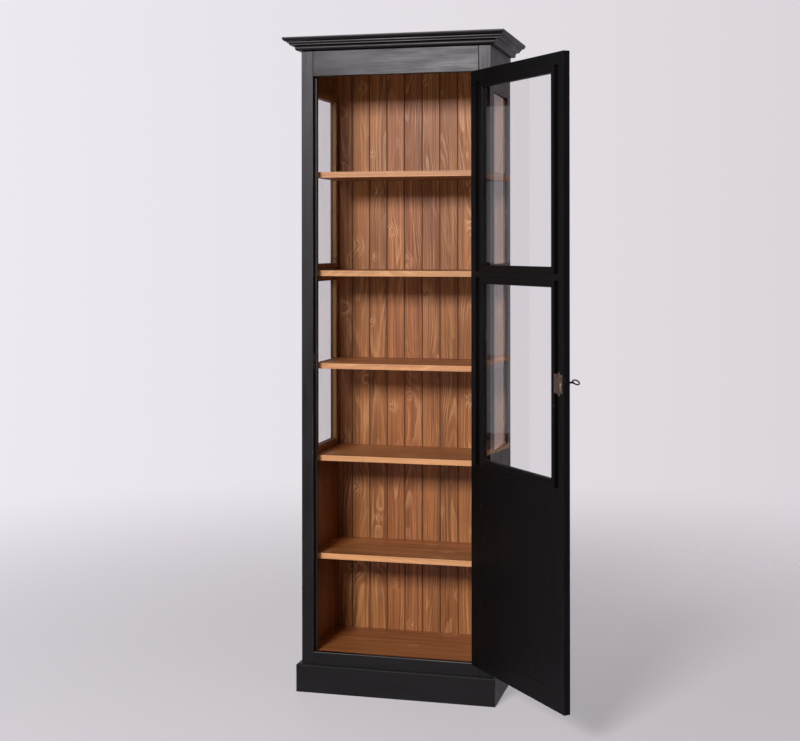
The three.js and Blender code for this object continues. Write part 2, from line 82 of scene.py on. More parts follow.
class Tree:
    """A node tree under construction. Each call adds one node and returns what it gives out."""

    def __init__(self, tree):
        self.tree = tree

    def add(self, kind, inputs=None, out=0, **settings):
        made = self.tree.nodes.new(kind)
        for name, value in settings.items():
            setattr(made, name, value)
        for name, value in (inputs or {}).items():
            if isinstance(value, bpy.types.NodeSocket):
                self.tree.links.new(value, made.inputs[name])
            else:
                made.inputs[name].default_value = value
        return made if out is None else made.outputs[out]

    def maths(self, operation, *values, clamp=False):
        inputs = dict(enumerate(values))
        return self.add("ShaderNodeMath", inputs, operation=operation, use_clamp=clamp)

    def times(self, *values):
        product = values[0]
        for value in values[1:]:
            product = self.maths("MULTIPLY", product, value)
        return product

    def plus(self, *values):
        total = values[0]
        for value in values[1:]:
            total = self.maths("ADD", total, value)
        return total

    def vectors(self, operation, *values, out="Vector"):
        named = dict(enumerate(values))
        if operation == "SCALE":
            named = {0: values[0], "Scale": values[1]}
        return self.add("ShaderNodeVectorMath", named, out=out, operation=operation)

    def dot(self, a, b):
        return self.vectors("DOT_PRODUCT", a, b, out="Value")

    def parts(self, vector):
        made = self.add("ShaderNodeSeparateXYZ", {0: vector}, out=None)
        return [made.outputs[i] for i in range(3)]

    def own(self, name, out="Vector"):
        """A property of the piece that wears the material."""
        settings = {"attribute_type": "OBJECT", "attribute_name": name}
        return self.add("ShaderNodeAttribute", out=out, **settings)

    def noise(self, vector, scale=1.0, detail=2.0, rough=0.5, out="Fac"):
        inputs = {"Vector": vector, "Scale": scale, "Detail": detail, "Roughness": rough}
        return self.add("ShaderNodeTexNoise", inputs, out=out)

    def stretched(self, vector, scales, detail=2.0, rough=0.5):
        return self.noise(self.vectors("MULTIPLY", vector, scales), 1.0, detail, rough)

    def ramp(self, value, low, high, to_low=0.0, to_high=1.0, smooth=False):
        inputs = {"Value": value, 1: low, 2: high, 3: to_low, 4: to_high}
        kind = "SMOOTHSTEP" if smooth else "LINEAR"
        return self.add("ShaderNodeMapRange", inputs, interpolation_type=kind, clamp=True)

    def mix(self, share, a, b):
        inputs = {"Factor": share, 6: a, 7: b}
        return self.add("ShaderNodeMix", inputs, out=2, data_type="RGBA")

    def blend(self, share, a, b):
        return self.add("ShaderNodeMix", {"Factor": share, 2: a, 3: b}, data_type="FLOAT")

    def bump(self, height, distance):
        inputs = {"Height": height, "Distance": distance, "Strength": 1.0}
        return self.add("ShaderNodeBump", inputs)


def linear(red, green, blue):
    """A linear colour from one written in 0 to 255."""
    parts = [v / 255 for v in (red, green, blue)]
    return (*(v / 12.92 if v < 0.04 else ((v + 0.055) / 1.055) ** 2.4 for v in parts), 1)


def group(name, outputs):
    """A new node group: the group, its tree and the node that its outputs end in."""
    made = bpy.data.node_groups.new(name, "ShaderNodeTree")
    for title, kind in outputs.items():
        made.interface.new_socket(title, in_out="OUTPUT", socket_type="NodeSocket" + kind)
    return made, Tree(made), made.nodes.new("NodeGroupOutput")


def give(tree, end, values):
    """Links a group's results to its outputs, by title."""
    for title, value in values.items():
        tree.tree.links.new(value, end.inputs[title])


def board_place():
    """Where a point lies in its board, from its middle: across, along and through it; how far it
    is from the board's nearest edge and from its nearest long side; and which way it faces."""
    kinds = {"Place": "Vector", "Edge": "Float", "Side": "Float"}
    kinds |= {"Outward": "Float", "Sideways": "Float"}
    made, t, end = group("Board place", kinds)
    point = t.add("ShaderNodeTexCoord", out="Object")
    from_middle = t.vectors("SUBTRACT", point, t.own("middle"))
    axes = [t.own(name) for name in ("across", "along", "through")]
    place = [t.dot(from_middle, axis) for axis in axes]
    halves = t.parts(t.own("half"))
    room = [
        t.maths("SUBTRACT", half, t.maths("ABSOLUTE", at)) for half, at in zip(halves, place)
    ]
    lowest = t.maths("MINIMUM", t.maths("MINIMUM", room[0], room[1]), room[2])
    highest = t.maths("MAXIMUM", t.maths("MAXIMUM", room[0], room[1]), room[2])
    edge = t.maths("SUBTRACT", t.plus(*room), t.plus(lowest, highest))
    normal = t.add("ShaderNodeNewGeometry", out="Normal")
    found = {
        "Place": t.add("ShaderNodeCombineXYZ", dict(enumerate(place))),
        "Edge": edge,
        "Side": room[0],
        "Outward": t.dot(normal, axes[2]),
        "Sideways": t.maths("ABSOLUTE", t.dot(normal, axes[0])),
    }
    give(t, end, found)
    return made


BOARD_PLACE = board_place()


# Noises along the grain: scales across, along and through the board, and detail
PINE_GRAIN = {
    "pores": ((1100, 24, 1100), 2),
    "streaks": ((190, 2.6, 190), 3),
    "bands": ((42, 1.2, 42), 2),
    "clouds": ((10, 2.2, 10), 3),
    "patches": ((16, 4.5, 16), 2),
}


def pine_knots(t, place):
    """A knot in some cells of a coarse grid over the face. Gives whether the nearest is there,
    how many of its radii away it is, how far a point lies inside it, and how near it is."""
    cell = (90 * MM, 190 * MM, 300 * MM)
    in_cells = {"Vector": t.vectors("DIVIDE", place, cell), "Scale": 1.0, "Randomness": 0.8}
    knots = t.add("ShaderNodeTexVoronoi", in_cells, out=None).outputs
    middle = t.vectors("MULTIPLY", knots["Position"], cell)
    offset = t.vectors("MULTIPLY", t.vectors("SUBTRACT", place, middle), (1, 0.7, 0))
    distance = t.vectors("LENGTH", offset, out="Value")
    chance = t.add("ShaderNodeSeparateColor", {0: knots["Color"]}, out=None).outputs
    present = t.ramp(chance["Red"], 0.5, 0.51)
    radius = t.ramp(chance["Green"], 0, 1, 3 * MM, 7.5 * MM)
    wobble = t.ramp(t.noise(place, 190, 2), 0, 1, -2.2 * MM, 2.2 * MM)
    radii = t.maths("DIVIDE", t.plus(distance, wobble), radius)
    inside = t.times(present, t.ramp(radii, 0.8, 1.1, 1, 0, smooth=True))
    reach = t.maths("DIVIDE", distance, t.times(radius, 3.0))
    near = t.times(present, t.maths("EXPONENT", t.times(reach, reach, -1.0)))
    return present, radii, inside, near


def late_wood(t, in_board, place, seed, near_knot):
    """1 on the late wood of the rings and 0 on the early wood. The pith wanders behind the face,
    and knots push the rings aside."""
    across, along, through = t.parts(in_board)
    drift_at = t.add("ShaderNodeCombineXYZ", {0: seed, 1: t.times(along, 0.9)})
    drifts = t.add("ShaderNodeSeparateColor", {0: t.noise(drift_at, out="Color")}, out=None)
    pith_across = t.ramp(drifts.outputs["Red"], 0.25, 0.75, -45 * MM, 45 * MM)
    pith_depth = t.ramp(drifts.outputs["Green"], 0.25, 0.75, 8 * MM, 70 * MM)
    beside = t.maths("SUBTRACT", across, pith_across)
    behind = t.plus(through, pith_depth)
    from_pith = t.maths("SQRT", t.plus(t.times(beside, beside), t.times(behind, behind)))
    wave = t.ramp(t.stretched(place, (26, 5, 26), 3), 0, 1, -4 * MM, 4 * MM)
    fine_wave = t.ramp(t.stretched(place, (120, 22, 120), 2), 0, 1, -0.8 * MM, 0.8 * MM)
    from_pith = t.plus(from_pith, t.times(near_knot, 10 * MM), wave, fine_wave)
    spacing = t.ramp(t.stretched(place, (6, 0.8, 6), 1), 0.3, 0.7, 4.2 * MM, 7.8 * MM)
    ring = t.maths("FRACT", t.maths("DIVIDE", from_pith, spacing))
    return t.times(t.ramp(ring, 0.42, 0.86, smooth=True), t.ramp(ring, 0.93, 1, 1, 0))


def stained(t, grain, late, edge_grain, near_knot):
    """The stained wood between the knots. Its rings stand out more on planed edges, round knots
    and in patches."""
    figure = t.plus(t.own("figure", out="Fac"), t.times(edge_grain, 0.45))
    figure = t.times(figure, t.ramp(grain["patches"], 0.42, 0.62, 0.12, 1.0))
    figure = t.maths("ADD", figure, t.times(near_knot, 0.6), clamp=True)

    pale, dark = linear(228, 172, 116), linear(98, 55, 26)
    streaks = grain["streaks"]
    clouded = t.ramp(grain["clouds"], 0.32, 0.68)
    colour = t.mix(clouded, linear(148, 90, 44), linear(178, 115, 61))
    colour = t.mix(t.ramp(grain["bands"], 0.34, 0.66, 0, 0.7), colour, linear(118, 69, 33))
    colour = t.mix(t.times(edge_grain, 0.6), colour, pale)
    colour = t.mix(t.times(late, figure), colour, pale)
    colour = t.mix(t.ramp(streaks, 0.46, 0.74, 0, 0.42), colour, linear(210, 148, 88))
    colour = t.mix(t.ramp(streaks, 0.26, 0.5, 0.36, 0), colour, dark)
    return t.mix(t.ramp(grain["pores"], 0.55, 0.8, 0, 0.35), colour, dark)


def knotted(t, colour, place, streaks, present, radii, inside):
    """Draws the knots: a warm heart, a broken dark rim and a pale flame above and below."""
    heart_grain = t.ramp(t.maths("SINE", t.times(radii, 9.0)), -1, 1)
    heart = t.mix(heart_grain, linear(142, 82, 46), linear(188, 128, 82))
    colour = t.mix(t.times(inside, 0.85), colour, heart)
    rim = t.times(t.ramp(radii, 0.78, 1.0), t.ramp(radii, 1.02, 1.3, 1, 0), present)
    broken = t.ramp(t.noise(place, 130, 2), 0.42, 0.6)
    colour = t.mix(t.times(rim, broken, 0.75), colour, linear(74, 38, 22))
    flame = t.times(t.ramp(radii, 1.1, 1.6), t.ramp(radii, 1.8, 4.2, 1, 0), present)
    flame = t.times(flame, t.ramp(streaks, 0.4, 0.7), 0.4)
    return t.mix(flame, colour, linear(226, 172, 126))


def unstained(t, late, bands, in_knot):
    """Raw pine, with darker late wood and knots."""
    raw = t.mix(t.times(late, 0.6), linear(226, 196, 150), linear(194, 148, 96))
    raw = t.mix(t.ramp(bands, 0.3, 0.7, 0, 0.3), raw, linear(206, 168, 120))
    return t.mix(in_knot, raw, linear(120, 76, 44))


def aged(t, colour, base, seed, clouds):
    """The board's tone, its own and painted light and shade; a darker band beside the joints and
    dark stain pooled in them; and a lighter arris elsewhere, rubbed and with a painted highlight.
    """
    tone, jointed = t.own("tone", out="Fac"), t.own("jointed", out="Fac")
    hue = t.ramp(t.maths("SINE", t.times(seed, 37)), -1, 1, 0.496, 0.502)
    colour = t.add("ShaderNodeHueSaturation", {"Color": colour, "Hue": hue, "Value": tone})
    # A darker band beside each joint, and dark stain pooled in it
    beside_joint = t.times(t.ramp(base["Side"], 2 * MM, 10 * MM, 0.3, 0), jointed)
    colour = t.mix(beside_joint, colour, linear(92, 52, 26))
    pooled = t.times(t.ramp(base["Side"], 0.6 * MM, 2.2 * MM, 1, 0), jointed, 0.75)
    colour = t.mix(pooled, colour, linear(70, 36, 18))
    # Lighter along the arrises away from the joints: rubbed stain and a painted highlight
    close = t.ramp(base["Edge"], 0.6 * MM, 2.4 * MM, 1, 0)
    rubbed_and_highlit = t.times(close, t.ramp(clouds, 0.3, 0.6))
    rubbed_and_highlit = t.times(rubbed_and_highlit, t.maths("SUBTRACT", 1.0, jointed), 0.45)
    return t.mix(rubbed_and_highlit, colour, linear(232, 182, 140))


def pine_group():
    """Stained pine, bare at the back of the boards that say so. The stain takes on the soft early
    wood, so the late wood shows as paler lines."""
    made, t, end = group("Pine", {"Color": "Color", "Shine": "Float", "Height": "Float"})
    base = t.add("ShaderNodeGroup", out=None, node_tree=BOARD_PLACE).outputs
    seed = t.own("seed", out="Fac")
    place = t.vectors("ADD", base["Place"], t.vectors("SCALE", (11.3, 7.1, 5.7), seed))
    grain = {name: t.stretched(place, *look) for name, look in PINE_GRAIN.items()}
    present, radii, in_knot, near_knot = pine_knots(t, place)
    late = late_wood(t, base["Place"], place, seed, near_knot)

    edge_grain = t.ramp(base["Sideways"], 0.5, 0.8)
    colour = stained(t, grain, late, edge_grain, near_knot)
    colour = knotted(t, colour, place, grain["streaks"], present, radii, in_knot)
    bare = t.times(t.own("bare", out="Fac"), t.ramp(base["Outward"], 0.4, 0.6))
    colour = t.mix(bare, colour, unstained(t, late, grain["bands"], in_knot))
    colour = aged(t, colour, base, seed, grain["clouds"])

    shine = t.plus(t.ramp(late, 0, 1, 0.48, 0.4), t.ramp(grain["clouds"], 0, 1, -0.05, 0.05))
    height = t.plus(t.times(late, 0.7), t.times(grain["pores"], -0.6), t.times(in_knot, 0.8))
    give(t, end, {"Color": colour, "Shine": shine, "Height": height})
    return made


PINE = pine_group()


def paint_group():
    """Black satin paint, brushed along the grain, which just shows through it, and nicked down to
    the wood here and there along the edges."""
    made, t, end = group("Paint", {"Color": "Color", "Shine": "Float", "Height": "Float"})
    base = t.add("ShaderNodeGroup", out=None, node_tree=BOARD_PLACE).outputs
    shift = t.vectors("SCALE", (3.1, 9.7, 6.3), t.own("seed", out="Fac"))
    place = t.vectors("ADD", base["Place"], shift)
    brush = t.stretched(place, (520, 8, 520), 3)
    grain = t.stretched(place, (85, 3.2, 85), 4, 0.6)
    strokes = t.stretched(place, (30, 6, 30), 3, 0.55)
    clouds = t.stretched(place, (7, 2.6, 7), 3)
    fine = t.noise(place, 230, 3, 0.65)

    colour = t.mix(t.ramp(clouds, 0.3, 0.7), linear(10, 9, 10), linear(14, 13, 14))
    colour = t.mix(t.ramp(grain, 0.5, 0.8, 0, 0.4), colour, linear(24, 22, 24))
    # Lighter along the edges, by the piece's share: rubbed paint and a painted highlight on the
    # arris
    close = t.ramp(base["Edge"], 0.4 * MM, 2.2 * MM, 1, 0)
    rubbed_and_highlit = t.times(close, t.ramp(strokes, 0.4, 0.65), t.own("worn", out="Fac"))
    colour = t.mix(rubbed_and_highlit, colour, linear(84, 77, 78))
    knocks = t.noise(place, 38, 3, 0.7)
    nick = t.times(t.ramp(knocks, 0.685, 0.7), t.ramp(fine, 0.5, 0.56))
    nick = t.times(nick, t.ramp(base["Edge"], 1 * MM, 2 * MM, 1, 0))
    colour = t.mix(nick, colour, linear(190, 160, 130))

    shine = t.plus(
        t.ramp(clouds, 0.25, 0.75, 0.36, 0.44),
        t.ramp(strokes, 0.3, 0.7, -0.05, 0.06),
        t.ramp(brush, 0.3, 0.7, -0.03, 0.05),
    )
    height = t.plus(t.times(brush, 0.35), t.times(grain, 0.8), t.times(strokes, 1.6))
    give(t, end, {"Color": colour, "Shine": shine, "Height": height})
    return made


PAINT = paint_group()


def material(name):
    """A new material and its empty tree."""
    made = bpy.data.materials.new(name)
    made.use_nodes = True
    made.node_tree.nodes.clear()
    return made, Tree(made.node_tree)


def finish_with(tree, shader):
    tree.add("ShaderNodeOutputMaterial", {"Surface": shader}, out=None)


def board_material(name, coats, relief, specular):
    """One coat all over, or two: the first on the face that looks inwards, the second on the
    rest."""
    made, t = material(name)
    groups = [t.add("ShaderNodeGroup", out=None, node_tree=coat).outputs for coat in coats]
    colour, shine, height = (groups[0][title] for title in ("Color", "Shine", "Height"))
    if len(coats) > 1:
        outward = t.add("ShaderNodeGroup", out="Outward", node_tree=BOARD_PLACE)
        outside = t.ramp(outward, -0.72, -0.68)
        colour = t.mix(outside, colour, groups[1]["Color"])
        shine = t.blend(outside, shine, groups[1]["Shine"])
        height = t.blend(outside, height, groups[1]["Height"])
    inputs = {
        "Base Color": colour,
        "Roughness": shine,
        "Specular IOR Level": specular,
        "Normal": t.bump(height, relief),
    }
    finish_with(t, t.add("ShaderNodeBsdfPrincipled", inputs))
    return made


pine_relief, paint_relief = 0.10 * MM, 0.12 * MM
pine = board_material("pine", [PINE], pine_relief, specular=0.3)
paint = board_material("paint", [PAINT], paint_relief, specular=0.33)
flat_paint = board_material("flat paint", [PAINT], paint_relief, specular=0.12)
pine_and_paint = board_material("pine inside", [PINE, PAINT], pine_relief, specular=0.3)


def clear_glass():
    """Window glass. It lets the lamps through, and the less the flatter their light meets it."""
    made, t = material("window glass")
    inputs = {
        "Base Color": (0.99, 0.99, 0.99, 1),
        "Roughness": 0.0,
        "IOR": 1.5,
        "Transmission Weight": 1.0,
    }
    body = t.add("ShaderNodeBsdfPrincipled", inputs)
    facing = t.add("ShaderNodeLayerWeight", {"Blend": 0.5}, out="Facing")
    passed = t.ramp(facing, 0.5, 1, 0.94, 0.2)
    through = t.add("ShaderNodeBsdfTransparent", {"Color": passed})
    shadow = t.add("ShaderNodeLightPath", out="Is Shadow Ray")
    finish_with(t, t.add("ShaderNodeMixShader", {0: shadow, 1: body, 2: through}))
    return made


glass = clear_glass()

metal_relief, plate_relief = 0.06 * MM, 0.05 * MM


def metal(name, dark, light, roughness, metallic):
    """Old metal with a mottled patina."""
    made, t = material(name)
    place = t.add("ShaderNodeTexCoord", out="Object")
    patches = t.noise(place, 90, 4, 0.6)
    fine = t.noise(place, 810, 3, 0.6)
    inputs = {
        "Base Color": t.mix(t.ramp(patches, 0.35, 0.68), dark, light),
        "Roughness": t.ramp(fine, 0.2, 0.8, roughness - 0.08, roughness + 0.12),
        "Metallic": metallic,
        "Normal": t.bump(t.plus(patches, fine), metal_relief),
    }
    finish_with(t, t.add("ShaderNodeBsdfPrincipled", inputs))
    return made


BRONZE_TONES = linear(120, 88, 70), linear(176, 138, 112)
IRON_TONES = linear(20, 19, 21), linear(40, 38, 40)
STEEL_TONES = linear(116, 114, 110), linear(160, 158, 152)
bronze = metal("bronzed plate", *BRONZE_TONES, roughness=0.38, metallic=0.9)
iron = metal("black iron", *IRON_TONES, roughness=0.42, metallic=0.5)
steel = metal("dull steel", *STEEL_TONES, roughness=0.4, metallic=0.9)


def lock_metal():
    """The lock's plate: olive on the half towards the hinge, warm bronze on the half towards the
    free edge.
    """
    made, t = material("lock plate")
    base = t.add("ShaderNodeGroup", out=None, node_tree=BOARD_PLACE).outputs
    across = t.parts(base["Place"])[0]
    patches = t.noise(base["Place"], 110, 4, 0.6)
    fine = t.noise(base["Place"], 900, 3, 0.6)
    colour = t.mix(t.ramp(patches, 0.35, 0.68), linear(110, 81, 72), linear(158, 119, 103))
    olive = t.mix(t.ramp(patches, 0.3, 0.7), linear(92, 88, 80), linear(122, 116, 106))
    border = t.plus(across, t.ramp(patches, 0, 1, -1.5 * MM, 1.5 * MM))
    colour = t.mix(t.ramp(border, 0.5 * MM, 4.5 * MM), colour, olive)
    # A lighter rim along the plate's edges: rubbed metal and a painted highlight
    rubbed_and_highlit = t.times(t.ramp(base["Edge"], 0.3 * MM, 1.6 * MM, 1, 0), 0.7)
    colour = t.mix(rubbed_and_highlit, colour, linear(222, 200, 172))
    inputs = {
        "Base Color": colour,
        "Roughness": t.ramp(fine, 0.2, 0.8, 0.3, 0.48),
        "Metallic": 0.85,
        "Normal": t.bump(t.plus(patches, fine), plate_relief),
    }
    finish_with(t, t.add("ShaderNodeBsdfPrincipled", inputs))
    return made


lock_plate = lock_metal()


# ---- Dressing the solids ----

# How far edges are rounded over, and how much of the paint along the door's edges is lightened, as
# rubbed paint and as a painted highlight on the arris
usual_edge, rail_edge, shelf_edge = 0.8 * MM, 2 * MM, 1.2 * MM
crisp_edge, plate_edge, bead_edge = 0.4 * MM, 0.5 * MM, 0.5 * MM
DOOR_WEAR_AND_HIGHLIGHT = 0.12


def describe(piece, place, box, axes, tone=1.0, bare=0.0, figure=0.4, jointed=0.0, worn=0.5):
    """Tells a piece's material where its board lies and how the grain runs: across, along and
    through it. The box and the axes are in the frame of place."""
    low, high = box
    size = high - low
    piece["middle"] = place @ ((low + high) / 2)
    piece["half"] = Vector([abs(size.dot(axis)) / 2 for axis in axes])
    for name, axis in zip(("across", "along", "through"), axes):
        piece[name] = place.to_3x3() @ axis
    piece["tone"] = tone
    piece["bare"] = bare
    piece["figure"] = figure
    piece["jointed"] = jointed
    piece["worn"] = worn
    # A number of the piece's own, from its name
    piece["seed"] = sum(ord(letter) * (i + 3) for i, letter in enumerate(piece.name)) % 97 / 7.0


def round_over(piece, width):
    bevel = piece.modifiers.new("bevel", "BEVEL")
    bevel.width = width
    bevel.segments = 2
    bevel.limit_method = "ANGLE"
    bevel.angle_limit = math.radians(35)
    return bevel


def soften(piece, width):
    """Rounds a solid's edges over, as sanding and paint do."""
    weld = piece.modifiers.new("weld", "WELD")
    weld.merge_threshold = 0.01 * MM
    flat = piece.modifiers.new("flat faces", "DECIMATE")
    flat.decimate_type = "DISSOLVE"
    flat.angle_limit = math.radians(1)
    round_over(piece, width)
    piece.modifiers.new("normals", "WEIGHTED_NORMAL").keep_sharp = True


def wear(piece, made):
    """Puts a material in a solid's slots, without a change to its mesh."""
    for material_slot in piece.material_slots:
        material_slot.link = "OBJECT"
        material_slot.material = made


def dress(name, made, axes, place=CABINET, edge=usual_edge, keep=None, **look):
    """Gives a solid a board's material, with the grain along its axes, and soft edges."""
    piece = nodes[name]
    describe(piece, place, box_of(name, place, keep), axes, **look)
    wear(piece, made)
    soften(piece, edge)


UPRIGHT_FRONT = (X, Z, Y)
LYING_FRONT = (Z, X, Y)
LYING_FLAT = (Y, X, Z)

for name in ("left_face_stile", "right_face_stile", "door_stop_strip"):
    dress(name, paint, UPRIGHT_FRONT)
for name in ("frieze_rail", "sill_rail"):
    dress(name, paint, LYING_FRONT, edge=rail_edge)
for name in ("plinth_front", "cornice_front"):
    dress(name, paint, LYING_FRONT)
for side, out in (("left", -X), ("right", X)):
    for name in ("front_stile", "rear_stile", "lower_board"):
        # Painted shade: the stain inside the sides is darkened
        dress(f"{side}_{name}", pine_and_paint, (Y, Z, out), tone=0.62, figure=0.25)
    for name in ("top_rail", "mid_rail"):
        # Painted shade: the stain on the rails inside is darkened more
        dress(f"{side}_{name}", pine_and_paint, (Z, Y, out), tone=0.46, figure=0.25)
    for name in (f"plinth_{side}", f"cornice_{side}"):
        dress(name, paint, (Z, Y, out))
    for name in ("upper", "lower"):
        wear(nodes[f"{side}_{name}_glass"], glass)

dress("top_board", pine, LYING_FLAT, tone=0.8)
# Painted light: the bottom board's stain is lightened
dress("bottom_board", pine, LYING_FLAT, tone=1.15, figure=0.2)
# Painted light: the shelves' stain goes from darker at the top to lighter at the bottom
SHELF_PAINTED_LIGHT = (0.86, 0.94, 1.06, 1.14, 1.22)
for i, tone in enumerate(SHELF_PAINTED_LIGHT, 1):
    dress(f"shelf_{i}", pine, LYING_FLAT, edge=shelf_edge, tone=tone, figure=0.35)

# The back boards' faces: only the points up to the bottom of the V, which leaves the tongues out
BACK_TONES = (0.9, 1.0, 0.93, 1.04, 0.96, 0.99, 0.92, 1.02, 0.97, 0.93)
v_depth = 2.1 * MM
for i, tone in enumerate(BACK_TONES, 1):
    name = f"back_board_{i}"
    v_bottom = box_of(name)[0].y + v_depth
    dress(
        name, pine, UPRIGHT_FRONT, edge=crisp_edge, keep=lambda point: point.y < v_bottom,
        tone=tone, bare=1.0, figure=0.44, jointed=1.0,
    )

on_door = {"place": DOOR, "edge": crisp_edge, "worn": DOOR_WEAR_AND_HIGHLIGHT}
for name in ("door_hinge_stile", "door_lock_stile", "door_panel"):
    dress(name, flat_paint, UPRIGHT_FRONT, **on_door)
for name in ("door_top_rail", "door_mid_rail", "door_lock_rail", "door_bottom_rail"):
    dress(name, flat_paint, LYING_FRONT, **on_door)
for name in ("door_upper_glass", "door_lower_glass"):
    wear(nodes[name], glass)

dress("lock_case", lock_plate, UPRIGHT_FRONT, place=DOOR, edge=plate_edge)
for name, made in (("lock_bolt", iron), ("strike_plate", steel)):
    wear(nodes[name], made)
    soften(nodes[name], crisp_edge)


# ---- Making pieces ----


class Piece:
    """A new piece: its mesh under construction, in the frame of place."""

    def __init__(self, name, body, made, slot, place=CABINET):
        self.name, self.body, self.made, self.slot, self.place = name, body, made, slot, place
        self.built = bmesh.new()

    def prism(self, bottom, top):
        """A closed solid between two outlines with the same number of points."""
        low = [self.built.verts.new(point) for point in bottom]
        high = [self.built.verts.new(point) for point in top]
        self.built.faces.new(low[::-1])
        self.built.faces.new(high)
        for i, vertex in enumerate(low):
            self.built.faces.new((low[i - 1], vertex, high[i], high[i - 1]))

    def skin(self, rings, closed=False):
        """Faces between rings of points. A ring of one point closes an end."""
        rings = [[self.built.verts.new(point) for point in ring] for ring in rings]
        pairs = list(zip(rings, rings[1:]))
        if closed:
            pairs.append((rings[-1], rings[0]))
        for below, above in pairs:
            for i in range(max(len(below), len(above))):
                loop = [below[(i - 1) % len(below)], below[i % len(below)]]
                loop += [above[i % len(above)], above[(i - 1) % len(above)]]
                self.built.faces.new(list(dict.fromkeys(loop)))

    def lathe(self, base, axis, profile, steps=28):
        """A turned solid: (distance along the axis, radius) pairs, radius 0 at both ends."""
        axis = axis.normalized()
        side = axis.orthogonal().normalized()
        up = axis.cross(side)
        turns = [2 * math.pi * i / steps for i in range(steps)]
        rings = []
        for along, radius in profile:
            at = base + axis * along
            rim = [at + (side * math.cos(a) + up * math.sin(a)) * radius for a in turns]
            rings.append(rim if radius else [at])
        self.skin(rings)

    def screw(self, at, facing, radius, turn):
        """A slotted screw head: two raised halves on a disc."""
        side = Matrix.Rotation(turn, 3, facing) @ facing.orthogonal().normalized()
        up = facing.cross(side)
        slot_half, floor, top = 0.13 * radius, 0.05 * radius, 0.28 * radius
        disc = [(-floor, 0), (-floor, radius), (floor, radius), (floor, 0)]
        self.lathe(at, facing, disc, 20)
        start = math.asin(slot_half / radius)
        turns = [start + (math.pi - 2 * start) * i / 10 for i in range(11)]
        for half in (up, -up):
            rim = [(side * math.cos(a) + half * math.sin(a)) * radius * 0.98 for a in turns]
            self.prism([at + p for p in rim], [at + facing * top + p * 0.9 for p in rim])

    def done(self, axes=None, edge=0.0, smooth=None, **look):
        """Makes the piece's object. smooth is the angle up to which its faces shade as one."""
        bmesh.ops.recalc_face_normals(self.built, faces=self.built.faces)
        box = extent(vertex.co for vertex in self.built.verts)
        self.built.transform(self.place)
        mesh = bpy.data.meshes.new(self.name)
        self.built.to_mesh(mesh)
        self.built.free()
        mesh.materials.append(self.made)
        if smooth:
            mesh.polygons.foreach_set("use_smooth", [True] * len(mesh.polygons))
            mesh.set_sharp_from_angle(angle=math.radians(smooth))
        piece = bpy.data.objects.new(self.name, mesh)
        bpy.context.scene.collection.objects.link(piece)
        if axes:
            describe(piece, self.place, box, axes, **look)
        if edge:
            round_over(piece, edge).harden_normals = bool(smooth)
        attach(piece, self.body)
        return piece


# A part laid on another is sunk this far off it, so that no two faces lie in one plane
clearance = 0.05 * MM


# ---- Glazing beads ----

# How far a pane reaches in behind its beads, how round the beads are, and the gap at their ends
glass_lap, bead_round, mitre_gap = 9 * MM, 3.5 * MM, 0.15 * MM


def rounded(width, depth, steps=5):
    """A bead's section from its sight edge outwards, rounded over on the sight side."""
    turns = [math.pi / 2 * i / steps for i in range(steps + 1)]
    base = depth - bead_round
    arc = [(bead_round - bead_round * math.cos(a), base + bead_round * math.sin(a)) for a in turns]
    return [(0, 0), *arc, (width, depth), (width, 0)]


def strip(piece, section, start, end, outward, facing, mitres):
    """A straight bead with the section (outward, facing), mitred or square at its two ends."""
    run = (end - start).normalized()

    def cut(at, lean):
        return [at + outward * a + facing * b + run * (a * lean) for a, b in section]

    piece.prism(cut(start, -mitres[0]), cut(end, mitres[1]))


def bead_frame(piece, section, corner, across, up, width, height, facing, wider=1.0, crossed=()):
    """Four beads round a pane, mitred at the corners. The lying ones are wider by that factor.
    crossed gives the spans of the height where a shelf passes, and the upright ones stop there."""
    lying = [(outward * wider, depth) for outward, depth in section]
    for base, outward in ((corner, -up), (corner + up * height, up)):
        ends = base + across * mitre_gap, base + across * (width - mitre_gap)
        strip(piece, lying, *ends, outward, facing, (1 / wider, 1 / wider))
    starts = [0.0, *(high for _, high in crossed)]
    stops = [*(low for low, _ in crossed), height]
    for base, outward in ((corner, -across), (corner + across * width, across)):
        for low, high in zip(starts, stops):
            ends = base + up * (low + mitre_gap), base + up * (high - mitre_gap)
            mitres = wider * (low == 0), wider * (high == height)
            strip(piece, section, *ends, outward, facing, mitres)


def add_door_beads():
    """Beads that fill the door's rebates over the panes, with a leg down beside each pane."""
    width, depth = 17.4 * MM, 8.3 * MM
    rail_rebate, rebate_gap = 20 * MM, 0.2 * MM
    leg_depth, leg_gap = 4.2 * MM, 0.3 * MM
    leg_inside = glass_lap + leg_gap
    section = rounded(width, depth)[:-1]
    section += [(width, -leg_depth), (leg_inside, -leg_depth), (leg_inside, 0)]
    wider = (rail_rebate - rebate_gap) / width
    for name in ("upper", "lower"):
        low, high = box_of(f"door_{name}_glass", DOOR)
        lap = (X + Z) * glass_lap
        corner = Vector((low.x, high.y + clearance, low.z)) + lap
        size = high - low - 2 * lap
        beads = Piece(f"door_{name}_beads", "door", flat_paint, "black_paint", DOOR)
        bead_frame(beads, section, corner, X, Z, size.x, size.z, Y, wider)
        beads.done(UPRIGHT_FRONT, edge=bead_edge, worn=DOOR_WEAR_AND_HIGHLIGHT)


